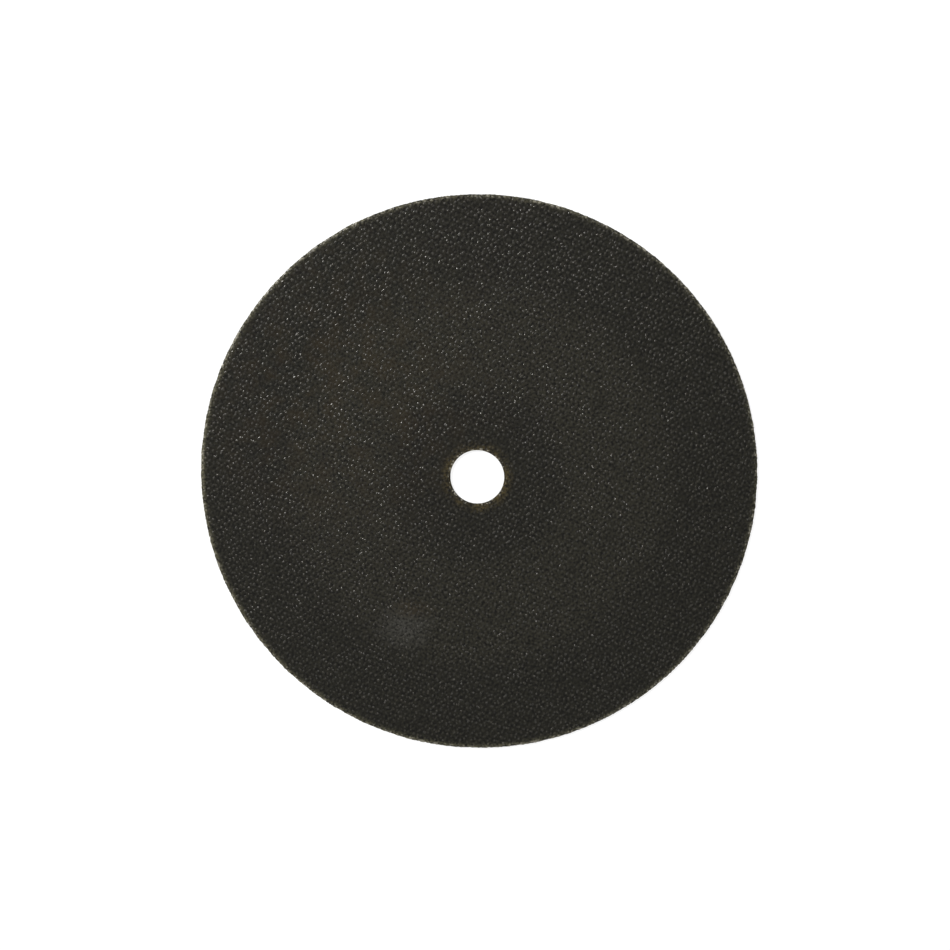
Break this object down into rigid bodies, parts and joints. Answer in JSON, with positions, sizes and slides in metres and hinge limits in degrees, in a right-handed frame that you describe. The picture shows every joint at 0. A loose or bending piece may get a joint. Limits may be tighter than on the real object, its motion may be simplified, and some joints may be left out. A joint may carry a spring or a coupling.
{
  "type": "cut off wheel",
  "caption": "Thin flat abrasive disc with a plain centre bore, faced with woven glass cloth, clamped between flanges on a grinder or chop saw to cut metal.",
  "frame": {"origin": "on the axis of the arbor bore, at the back face that the wheel rests on", "axes": "+Z along the bore's axis, out of the front face; +X to the right and +Y up in the picture"},
  "size_m": [0.23, 0.23, 0.002],
  "materials": {
    "bonded_abrasive": "black resin-bonded grit under pressed glass cloth, dull with small glints on the yarn crowns"
  },
  "bodies": {
    "root": {"cut_off_wheel": "bonded_abrasive"}
  },
  "joints": []
}
